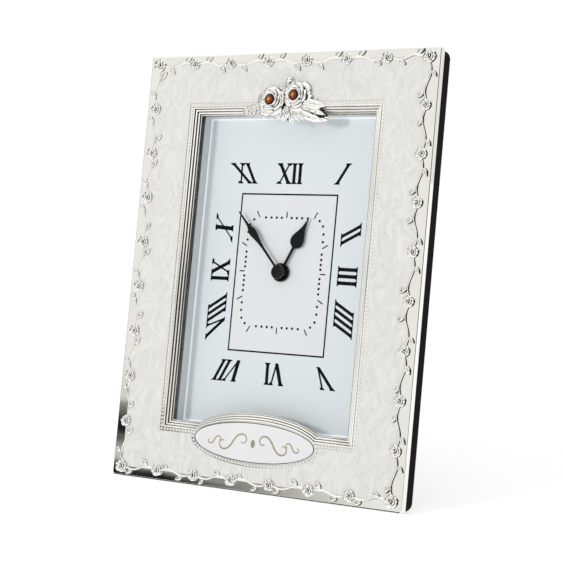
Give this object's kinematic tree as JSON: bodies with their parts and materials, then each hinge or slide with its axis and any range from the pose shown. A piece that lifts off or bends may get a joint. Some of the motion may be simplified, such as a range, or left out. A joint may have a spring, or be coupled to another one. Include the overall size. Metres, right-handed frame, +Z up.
{
  "type": "photo frame clock",
  "caption": "Free-standing silver and pearl enamel photo frame clock: a rose garland round a tall window, a recessed Roman dial with black hands, and a velvet easel back.",
  "frame": {"origin": "on the surface that the clock stands on, under the middle of its bounding box", "axes": "+Z up, +X to the right as seen from the front, the dial faces -Y and leans back 10 degrees"},
  "size_m": [0.152, 0.0558, 0.1962],
  "materials": {
    "silver_plate": "polished silver plate",
    "pearl_enamel": "pearl enamel, glossy",
    "white_plaque": "white enamel, glossy",
    "amber_crystal": "faceted amber glass",
    "clear_glass": "clear float glass",
    "recess_grey": "satin grey",
    "dial_card": "matt pale dial",
    "black_velvet": "black velvet over board",
    "nickel_plate": "nickel plate",
    "bright_steel": "plain steel",
    "brass": "turned brass",
    "foam_pad": "foam",
    "black_plastic": "moulded, fine texture",
    "white_plastic": "moulded",
    "magnet": "sintered",
    "copper_wire": "enamelled wire",
    "circuit_green": "printed board",
    "quartz_can": "drawn can",
    "battery_sleeve": "printed sleeve",
    "black_lacquer": "black lacquer"
  },
  "bodies": {
    "frame": {"front_frame": "silver_plate", "enamel_inlay": "pearl_enamel", "oval_plaque": "white_plaque", "bead_trim": "silver_plate", "vine_stems": "silver_plate", "vine_leaves": "silver_plate", "garland_roses": "silver_plate", "rose_crest": "silver_plate", "crest_crystals": "amber_crystal", "glass_pane": "clear_glass", "recess_frame": "recess_grey", "dial_plate": "dial_card", "backing_board": "black_velvet", "back_panel": "black_velvet", "turn_button_screws": "bright_steel", "hinge_leaf_fixed": "nickel_plate", "hinge_pin": "bright_steel", "hinge_rivets_fixed": "bright_steel", "mounting_pad": "foam_pad", "movement_case_front": "black_plastic", "movement_case_back": "black_plastic", "train_bridge": "white_plastic", "stator": "bright_steel", "coil_core": "bright_steel", "coil_bobbin": "white_plastic", "coil_winding": "copper_wire", "circuit_board": "circuit_green", "quartz_crystal": "quartz_can", "battery_contact_positive": "nickel_plate", "battery_contact_negative": "nickel_plate"},
    "minute": {"minute_shaft": "brass", "clutch_spring": "brass", "minute_hand": "black_lacquer", "hand_cap": "black_lacquer"},
    "hour": {"hour_wheel": "white_plastic", "hour_hand": "black_lacquer"},
    "motion_work": {"motion_wheel": "white_plastic"},
    "setting_knob": {"set_knob_shaft": "white_plastic", "set_knob": "black_plastic"},
    "centre_wheel": {"centre_wheel": "white_plastic"},
    "third_wheel": {"third_wheel": "white_plastic"},
    "seconds_wheel": {"seconds_wheel": "white_plastic"},
    "fifth_wheel": {"fifth_wheel": "white_plastic"},
    "rotor": {"rotor_pinion": "white_plastic", "rotor_magnet": "magnet"},
    "battery": {"battery_cell": "battery_sleeve"},
    "strut": {"strut_leg": "black_velvet", "hinge_leaf_moving": "nickel_plate", "hinge_rivets_moving": "bright_steel"},
    "turn_button_upper_left": {"turn_button_upper_left": "nickel_plate"},
    "turn_button_upper_right": {"turn_button_upper_right": "nickel_plate"},
    "turn_button_lower_left": {"turn_button_lower_left": "nickel_plate"},
    "turn_button_lower_right": {"turn_button_lower_right": "nickel_plate"}
  },
  "joints": [
    {"name": "minute_hand_turn", "type": "hinge", "parent": "frame", "child": "minute", "pos_m": [0, -0.00104, 0.09727], "axis": [0, 0.9848, -0.1736], "continuous": true},
    {"name": "hour_hand_turn", "type": "hinge", "parent": "frame", "child": "hour", "pos_m": [0, 0.00024, 0.09705], "axis": [0, 0.9848, -0.1736], "continuous": true},
    {"name": "motion_wheel_turn", "type": "hinge", "parent": "frame", "child": "motion_work", "pos_m": [-0.00789, 0.00625, 0.0989], "axis": [0, 0.9848, -0.1736], "continuous": true},
    {"name": "set_knob_turn", "type": "hinge", "parent": "frame", "child": "setting_knob", "pos_m": [-0.01517, 0.01969, 0.1008], "axis": [0, 0.9848, -0.1736], "continuous": true},
    {"name": "seconds_wheel_turn", "type": "hinge", "parent": "frame", "child": "seconds_wheel", "pos_m": [0.01302, 0.01172, 0.10399], "axis": [0, 0.9848, -0.1736], "continuous": true},
    {"name": "centre_wheel_turn", "type": "hinge", "parent": "frame", "child": "centre_wheel", "pos_m": [0, 0.00723, 0.09581], "axis": [0, 0.9848, -0.1736], "continuous": true},
    {"name": "third_wheel_turn", "type": "hinge", "parent": "frame", "child": "third_wheel", "pos_m": [0.0051, 0.01024, 0.10425], "axis": [0, 0.9848, -0.1736], "continuous": true},
    {"name": "fifth_wheel_turn", "type": "hinge", "parent": "frame", "child": "fifth_wheel", "pos_m": [0.01483, 0.01202, 0.09707], "axis": [0, 0.9848, -0.1736], "continuous": true},
    {"name": "rotor_turn", "type": "hinge", "parent": "frame", "child": "rotor", "pos_m": [0.02015, 0.01314, 0.09592], "axis": [0, 0.9848, -0.1736], "continuous": true},
    {"name": "battery_slide", "type": "slide", "parent": "frame", "child": "battery", "axis": [0, 0.9848, -0.1736], "range_m": [0, 0.018]},
    {"name": "strut_hinge", "type": "hinge", "parent": "frame", "child": "strut", "pos_m": [0, 0.00092, 0.06606], "axis": [1, 0, 0], "range_deg": [-29.3, 0]},
    {"name": "turn_button_upper_left_swivel", "type": "hinge", "parent": "frame", "child": "turn_button_upper_left", "pos_m": [-0.0548, 0.0133, 0.14348], "axis": [0, 0.9848, -0.1736], "range_deg": [-90, 90]},
    {"name": "turn_button_upper_right_swivel", "type": "hinge", "parent": "frame", "child": "turn_button_upper_right", "pos_m": [0.0548, 0.0133, 0.14348], "axis": [0, 0.9848, -0.1736], "range_deg": [-90, 90]},
    {"name": "turn_button_lower_left_swivel", "type": "hinge", "parent": "frame", "child": "turn_button_lower_left", "pos_m": [-0.0548, -0.00337, 0.04894], "axis": [0, 0.9848, -0.1736], "range_deg": [-90, 90]},
    {"name": "turn_button_lower_right_swivel", "type": "hinge", "parent": "frame", "child": "turn_button_lower_right", "pos_m": [0.0548, -0.00337, 0.04894], "axis": [0, 0.9848, -0.1736], "range_deg": [-90, 90]}
  ],
  "couplings": [
    {"joint": "hour_hand_turn", "follows": "minute_hand_turn", "ratio": 0.083333},
    {"joint": "motion_wheel_turn", "follows": "minute_hand_turn", "ratio": -0.33333},
    {"joint": "set_knob_turn", "follows": "minute_hand_turn", "ratio": 1},
    {"joint": "centre_wheel_turn", "follows": "seconds_wheel_turn", "ratio": 0.016667},
    {"joint": "third_wheel_turn", "follows": "seconds_wheel_turn", "ratio": -0.125},
    {"joint": "fifth_wheel_turn", "follows": "seconds_wheel_turn", "ratio": -6},
    {"joint": "rotor_turn", "follows": "seconds_wheel_turn", "ratio": 30}
  ]
}
